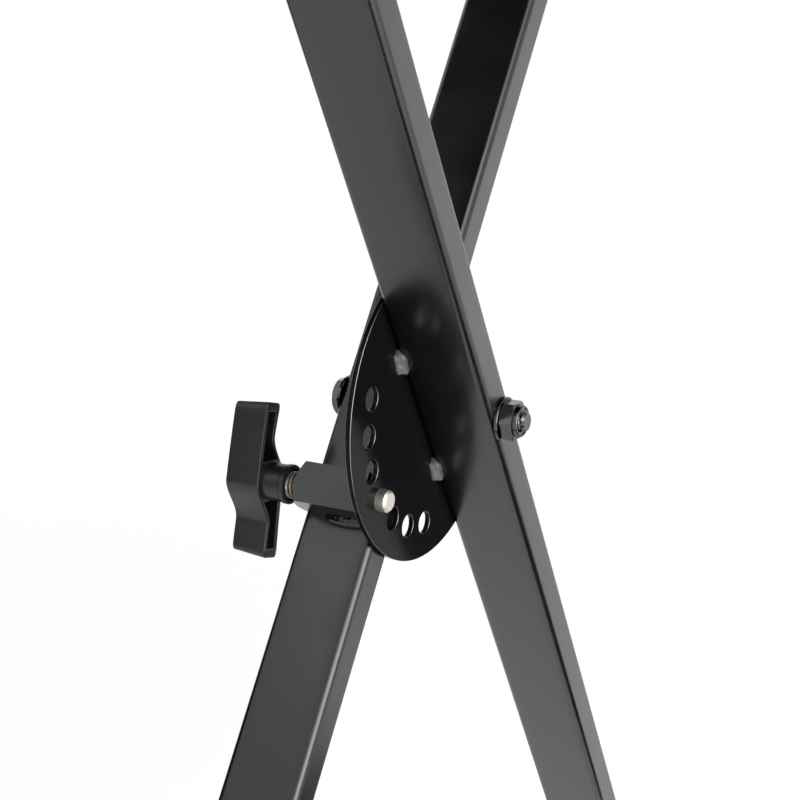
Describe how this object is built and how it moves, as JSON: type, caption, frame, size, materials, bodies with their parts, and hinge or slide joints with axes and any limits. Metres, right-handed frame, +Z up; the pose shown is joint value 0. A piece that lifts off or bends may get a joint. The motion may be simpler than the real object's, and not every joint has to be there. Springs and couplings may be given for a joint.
{
  "type": "keyboard stand",
  "caption": "Folding X-frame keyboard stand of flat black steel tube with a half-moon index disc, screw lock with T knob, foot bars and padded top arms.",
  "frame": {"origin": "on the floor under the pivot, in the middle of the stand's box", "axes": "+Z up; the X of the legs lies in the XZ plane; +Y along the pivot axis from the nut to the bolt head"},
  "size_m": [0.565, 0.425, 0.8669],
  "materials": {
    "black_powder_coat": "semi-gloss powder coat",
    "painted_weld": "coated weld bead",
    "black_painted_plate": "gloss enamel",
    "black_plated_steel": "black zinc plate",
    "bright_plated_steel": "bright nickel plate",
    "black_moulded_plastic": "satin moulded",
    "black_rubber": "matte moulded",
    "white_nylon": "natural"
  },
  "bodies": {
    "front_leg": {"front_leg_tube": "black_powder_coat", "front_pivot_bush": "bright_plated_steel", "front_foot_weld": "painted_weld", "front_arm_weld": "painted_weld", "front_foot_bar": "black_powder_coat", "front_foot_bar_near_cap": "black_rubber", "front_foot_bar_far_cap": "black_rubber", "front_top_arm": "black_powder_coat", "front_top_arm_near_cap": "black_rubber", "front_top_arm_far_cap": "black_rubber", "front_rest_pad_near": "black_rubber", "front_rest_pad_far": "black_rubber", "index_disc": "black_painted_plate", "disc_tack_upper": "painted_weld", "disc_tack_lower": "painted_weld", "pivot_bolt": "black_plated_steel", "pivot_nut": "black_plated_steel", "nut_washer": "black_plated_steel", "head_washer": "black_plated_steel", "thrust_washer": "white_nylon"},
    "rear_leg": {"rear_leg_tube": "black_powder_coat", "rear_pivot_bush": "bright_plated_steel", "rear_foot_weld": "painted_weld", "rear_arm_weld": "painted_weld", "rear_foot_bar": "black_powder_coat", "rear_foot_bar_near_cap": "black_rubber", "rear_foot_bar_far_cap": "black_rubber", "rear_top_arm": "black_powder_coat", "rear_top_arm_near_cap": "black_rubber", "rear_top_arm_far_cap": "black_rubber", "rear_rest_pad_near": "black_rubber", "rear_rest_pad_far": "black_rubber", "lock_sleeve": "black_powder_coat", "sleeve_weld_upper": "painted_weld", "sleeve_weld_lower": "painted_weld"},
    "lock_screw": {"lock_screw": "bright_plated_steel"},
    "t_knob": {"t_knob": "black_moulded_plastic"}
  },
  "joints": [
    {"name": "fold", "type": "hinge", "parent": "front_leg", "child": "rear_leg", "pos_m": [0, 0, 0.42747], "axis": [0, 1, 0], "range_deg": [-52.2, 52.2]},
    {"name": "lock_travel", "type": "slide", "parent": "rear_leg", "child": "lock_screw", "axis": [0, 1, 0], "range_m": [0, 0.0075]},
    {"name": "knob_turn", "type": "hinge", "parent": "lock_screw", "child": "t_knob", "pos_m": [-0.03464, 0, 0.40141], "axis": [0, 1, 0], "range_deg": [0, 1800]}
  ],
  "couplings": [
    {"joint": "knob_turn", "follows": "lock_travel", "rad_per_m": 4188.8}
  ]
}
